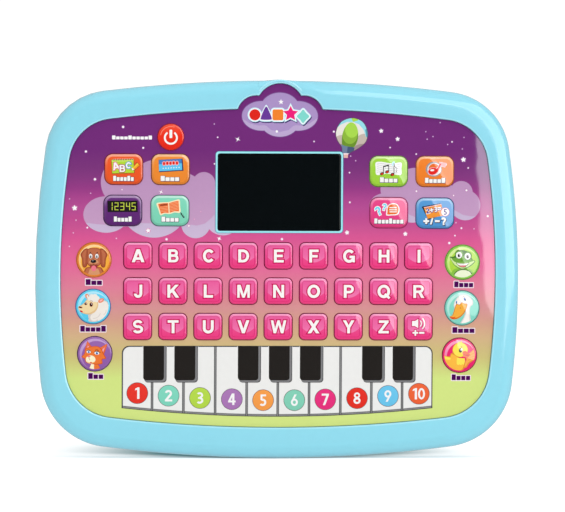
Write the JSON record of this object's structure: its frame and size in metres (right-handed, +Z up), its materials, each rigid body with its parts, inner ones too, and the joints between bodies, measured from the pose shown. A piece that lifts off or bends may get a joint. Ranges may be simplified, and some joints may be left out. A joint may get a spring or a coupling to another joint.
{
  "type": "toy learning tablet",
  "caption": "Upright child learning pad: bowed two-shell casing, printed panel, lit display, sprung letter, mode and animal buttons, printed piano, battery door.",
  "frame": {"origin": "under the middle of the lower edge, half way through the thickness, with the pad standing upright", "axes": "+Z up along the face, +X to the right of the face, -Y out of the face towards the user"},
  "size_m": [0.24, 0.023, 0.1877],
  "materials": {
    "shell_plastic": "pale cyan moulded ABS, satin gloss",
    "printed_panel": "clear gloss film over a print that fades from purple at the top to pink to lime at the bottom",
    "display_window": "black tinted gloss pane with a pale cyan printed border",
    "display_module": "dark display module",
    "circuit_board": "green solder resist",
    "membrane_rubber": "grey silicone",
    "speaker_frame": "black speaker frame and cone",
    "contact_steel": "plated spring steel",
    "screw_steel": "zinc plated steel",
    "cell_case": "plain wrapped battery cell",
    "letter_keys": "pink gloss keys with printed white letters",
    "power_button": "red gloss button with a white power sign",
    "mode_button_letter": "orange-red gloss button with a printed notepad",
    "mode_button_word": "orange gloss button with a printed screen",
    "mode_button_spell": "dark purple gloss button with a printed display",
    "mode_button_read": "mint gloss button with a printed open book",
    "mode_button_song": "green gloss button with a printed music sheet",
    "mode_button_music": "orange gloss button with a printed disc and note",
    "mode_button_question": "pink gloss button with printed speech bubbles",
    "mode_button_maths": "blue gloss button with a printed sum",
    "animal_button_dog": "orange gloss button with a printed brown dog",
    "animal_button_sheep": "sky blue gloss button with a printed white sheep",
    "animal_button_cat": "purple gloss button with a printed orange cat",
    "animal_button_frog": "lime gloss button with a printed green frog",
    "animal_button_duck": "mint gloss button with a printed white duck",
    "animal_button_bird": "pink gloss button with a printed yellow chick"
  },
  "bodies": {
    "root": {"front_casing": "shell_plastic", "rear_casing": "shell_plastic", "overlay_panel": "printed_panel", "display_window": "display_window", "led_display_module": "display_module", "main_board": "circuit_board", "key_membrane": "membrane_rubber", "speaker": "speaker_frame", "battery_1": "cell_case", "battery_2": "cell_case", "battery_3": "cell_case", "battery_contact_plate": "contact_steel", "casing_screw_1": "screw_steel", "casing_screw_2": "screw_steel", "casing_screw_3": "screw_steel", "casing_screw_4": "screw_steel"},
    "battery_door": {"battery_door": "shell_plastic", "battery_door_screw": "screw_steel"},
    "power_button": {"power_button": "power_button"},
    "mode_button_letter": {"mode_button_letter": "mode_button_letter"},
    "mode_button_word": {"mode_button_word": "mode_button_word"},
    "mode_button_spell": {"mode_button_spell": "mode_button_spell"},
    "mode_button_read": {"mode_button_read": "mode_button_read"},
    "mode_button_song": {"mode_button_song": "mode_button_song"},
    "mode_button_music": {"mode_button_music": "mode_button_music"},
    "mode_button_question": {"mode_button_question": "mode_button_question"},
    "mode_button_maths": {"mode_button_maths": "mode_button_maths"},
    "animal_button_dog": {"animal_button_dog": "animal_button_dog"},
    "animal_button_sheep": {"animal_button_sheep": "animal_button_sheep"},
    "animal_button_cat": {"animal_button_cat": "animal_button_cat"},
    "animal_button_frog": {"animal_button_frog": "animal_button_frog"},
    "animal_button_duck": {"animal_button_duck": "animal_button_duck"},
    "animal_button_bird": {"animal_button_bird": "animal_button_bird"},
    "letter_key_a": {"letter_key_a": "letter_keys"},
    "letter_key_b": {"letter_key_b": "letter_keys"},
    "letter_key_c": {"letter_key_c": "letter_keys"},
    "letter_key_d": {"letter_key_d": "letter_keys"},
    "letter_key_e": {"letter_key_e": "letter_keys"},
    "letter_key_f": {"letter_key_f": "letter_keys"},
    "letter_key_g": {"letter_key_g": "letter_keys"},
    "letter_key_h": {"letter_key_h": "letter_keys"},
    "letter_key_i": {"letter_key_i": "letter_keys"},
    "letter_key_j": {"letter_key_j": "letter_keys"},
    "letter_key_k": {"letter_key_k": "letter_keys"},
    "letter_key_l": {"letter_key_l": "letter_keys"},
    "letter_key_m": {"letter_key_m": "letter_keys"},
    "letter_key_n": {"letter_key_n": "letter_keys"},
    "letter_key_o": {"letter_key_o": "letter_keys"},
    "letter_key_p": {"letter_key_p": "letter_keys"},
    "letter_key_q": {"letter_key_q": "letter_keys"},
    "letter_key_r": {"letter_key_r": "letter_keys"},
    "letter_key_s": {"letter_key_s": "letter_keys"},
    "letter_key_t": {"letter_key_t": "letter_keys"},
    "letter_key_u": {"letter_key_u": "letter_keys"},
    "letter_key_v": {"letter_key_v": "letter_keys"},
    "letter_key_w": {"letter_key_w": "letter_keys"},
    "letter_key_x": {"letter_key_x": "letter_keys"},
    "letter_key_y": {"letter_key_y": "letter_keys"},
    "letter_key_z": {"letter_key_z": "letter_keys"},
    "volume_key": {"volume_key": "letter_keys"}
  },
  "joints": [
    {"name": "battery_door_lift", "type": "slide", "parent": "root", "child": "battery_door", "axis": [0, 1, 0], "range_m": [0, 0.03]},
    {"name": "power_button_press", "type": "slide", "parent": "root", "child": "power_button", "axis": [0, 1, 0], "range_m": [0, 0.0008], "stiffness_N_per_m": 150},
    {"name": "mode_button_letter_press", "type": "slide", "parent": "root", "child": "mode_button_letter", "axis": [0, 1, 0], "range_m": [0, 0.0008], "stiffness_N_per_m": 150},
    {"name": "mode_button_word_press", "type": "slide", "parent": "root", "child": "mode_button_word", "axis": [0, 1, 0], "range_m": [0, 0.0008], "stiffness_N_per_m": 150},
    {"name": "mode_button_spell_press", "type": "slide", "parent": "root", "child": "mode_button_spell", "axis": [0, 1, 0], "range_m": [0, 0.0008], "stiffness_N_per_m": 150},
    {"name": "mode_button_read_press", "type": "slide", "parent": "root", "child": "mode_button_read", "axis": [0, 1, 0], "range_m": [0, 0.0008], "stiffness_N_per_m": 150},
    {"name": "mode_button_song_press", "type": "slide", "parent": "root", "child": "mode_button_song", "axis": [0, 1, 0], "range_m": [0, 0.0008], "stiffness_N_per_m": 150},
    {"name": "mode_button_music_press", "type": "slide", "parent": "root", "child": "mode_button_music", "axis": [0, 1, 0], "range_m": [0, 0.0008], "stiffness_N_per_m": 150},
    {"name": "mode_button_question_press", "type": "slide", "parent": "root", "child": "mode_button_question", "axis": [0, 1, 0], "range_m": [0, 0.0008], "stiffness_N_per_m": 150},
    {"name": "mode_button_maths_press", "type": "slide", "parent": "root", "child": "mode_button_maths", "axis": [0, 1, 0], "range_m": [0, 0.0008], "stiffness_N_per_m": 150},
    {"name": "animal_button_dog_press", "type": "slide", "parent": "root", "child": "animal_button_dog", "axis": [0, 1, 0], "range_m": [0, 0.0008], "stiffness_N_per_m": 150},
    {"name": "animal_button_sheep_press", "type": "slide", "parent": "root", "child": "animal_button_sheep", "axis": [0, 1, 0], "range_m": [0, 0.0008], "stiffness_N_per_m": 150},
    {"name": "animal_button_cat_press", "type": "slide", "parent": "root", "child": "animal_button_cat", "axis": [0, 1, 0], "range_m": [0, 0.0008], "stiffness_N_per_m": 150},
    {"name": "animal_button_frog_press", "type": "slide", "parent": "root", "child": "animal_button_frog", "axis": [0, 1, 0], "range_m": [0, 0.0008], "stiffness_N_per_m": 150},
    {"name": "animal_button_duck_press", "type": "slide", "parent": "root", "child": "animal_button_duck", "axis": [0, 1, 0], "range_m": [0, 0.0008], "stiffness_N_per_m": 150},
    {"name": "animal_button_bird_press", "type": "slide", "parent": "root", "child": "animal_button_bird", "axis": [0, 1, 0], "range_m": [0, 0.0008], "stiffness_N_per_m": 150},
    {"name": "letter_key_a_press", "type": "slide", "parent": "root", "child": "letter_key_a", "axis": [0, 1, 0], "range_m": [0, 0.0008], "stiffness_N_per_m": 150},
    {"name": "letter_key_b_press", "type": "slide", "parent": "root", "child": "letter_key_b", "axis": [0, 1, 0], "range_m": [0, 0.0008], "stiffness_N_per_m": 150},
    {"name": "letter_key_c_press", "type": "slide", "parent": "root", "child": "letter_key_c", "axis": [0, 1, 0], "range_m": [0, 0.0008], "stiffness_N_per_m": 150},
    {"name": "letter_key_d_press", "type": "slide", "parent": "root", "child": "letter_key_d", "axis": [0, 1, 0], "range_m": [0, 0.0008], "stiffness_N_per_m": 150},
    {"name": "letter_key_e_press", "type": "slide", "parent": "root", "child": "letter_key_e", "axis": [0, 1, 0], "range_m": [0, 0.0008], "stiffness_N_per_m": 150},
    {"name": "letter_key_f_press", "type": "slide", "parent": "root", "child": "letter_key_f", "axis": [0, 1, 0], "range_m": [0, 0.0008], "stiffness_N_per_m": 150},
    {"name": "letter_key_g_press", "type": "slide", "parent": "root", "child": "letter_key_g", "axis": [0, 1, 0], "range_m": [0, 0.0008], "stiffness_N_per_m": 150},
    {"name": "letter_key_h_press", "type": "slide", "parent": "root", "child": "letter_key_h", "axis": [0, 1, 0], "range_m": [0, 0.0008], "stiffness_N_per_m": 150},
    {"name": "letter_key_i_press", "type": "slide", "parent": "root", "child": "letter_key_i", "axis": [0, 1, 0], "range_m": [0, 0.0008], "stiffness_N_per_m": 150},
    {"name": "letter_key_j_press", "type": "slide", "parent": "root", "child": "letter_key_j", "axis": [0, 1, 0], "range_m": [0, 0.0008], "stiffness_N_per_m": 150},
    {"name": "letter_key_k_press", "type": "slide", "parent": "root", "child": "letter_key_k", "axis": [0, 1, 0], "range_m": [0, 0.0008], "stiffness_N_per_m": 150},
    {"name": "letter_key_l_press", "type": "slide", "parent": "root", "child": "letter_key_l", "axis": [0, 1, 0], "range_m": [0, 0.0008], "stiffness_N_per_m": 150},
    {"name": "letter_key_m_press", "type": "slide", "parent": "root", "child": "letter_key_m", "axis": [0, 1, 0], "range_m": [0, 0.0008], "stiffness_N_per_m": 150},
    {"name": "letter_key_n_press", "type": "slide", "parent": "root", "child": "letter_key_n", "axis": [0, 1, 0], "range_m": [0, 0.0008], "stiffness_N_per_m": 150},
    {"name": "letter_key_o_press", "type": "slide", "parent": "root", "child": "letter_key_o", "axis": [0, 1, 0], "range_m": [0, 0.0008], "stiffness_N_per_m": 150},
    {"name": "letter_key_p_press", "type": "slide", "parent": "root", "child": "letter_key_p", "axis": [0, 1, 0], "range_m": [0, 0.0008], "stiffness_N_per_m": 150},
    {"name": "letter_key_q_press", "type": "slide", "parent": "root", "child": "letter_key_q", "axis": [0, 1, 0], "range_m": [0, 0.0008], "stiffness_N_per_m": 150},
    {"name": "letter_key_r_press", "type": "slide", "parent": "root", "child": "letter_key_r", "axis": [0, 1, 0], "range_m": [0, 0.0008], "stiffness_N_per_m": 150},
    {"name": "letter_key_s_press", "type": "slide", "parent": "root", "child": "letter_key_s", "axis": [0, 1, 0], "range_m": [0, 0.0008], "stiffness_N_per_m": 150},
    {"name": "letter_key_t_press", "type": "slide", "parent": "root", "child": "letter_key_t", "axis": [0, 1, 0], "range_m": [0, 0.0008], "stiffness_N_per_m": 150},
    {"name": "letter_key_u_press", "type": "slide", "parent": "root", "child": "letter_key_u", "axis": [0, 1, 0], "range_m": [0, 0.0008], "stiffness_N_per_m": 150},
    {"name": "letter_key_v_press", "type": "slide", "parent": "root", "child": "letter_key_v", "axis": [0, 1, 0], "range_m": [0, 0.0008], "stiffness_N_per_m": 150},
    {"name": "letter_key_w_press", "type": "slide", "parent": "root", "child": "letter_key_w", "axis": [0, 1, 0], "range_m": [0, 0.0008], "stiffness_N_per_m": 150},
    {"name": "letter_key_x_press", "type": "slide", "parent": "root", "child": "letter_key_x", "axis": [0, 1, 0], "range_m": [0, 0.0008], "stiffness_N_per_m": 150},
    {"name": "letter_key_y_press", "type": "slide", "parent": "root", "child": "letter_key_y", "axis": [0, 1, 0], "range_m": [0, 0.0008], "stiffness_N_per_m": 150},
    {"name": "letter_key_z_press", "type": "slide", "parent": "root", "child": "letter_key_z", "axis": [0, 1, 0], "range_m": [0, 0.0008], "stiffness_N_per_m": 150},
    {"name": "volume_key_press", "type": "slide", "parent": "root", "child": "volume_key", "axis": [0, 1, 0], "range_m": [0, 0.0008], "stiffness_N_per_m": 150}
  ]
}
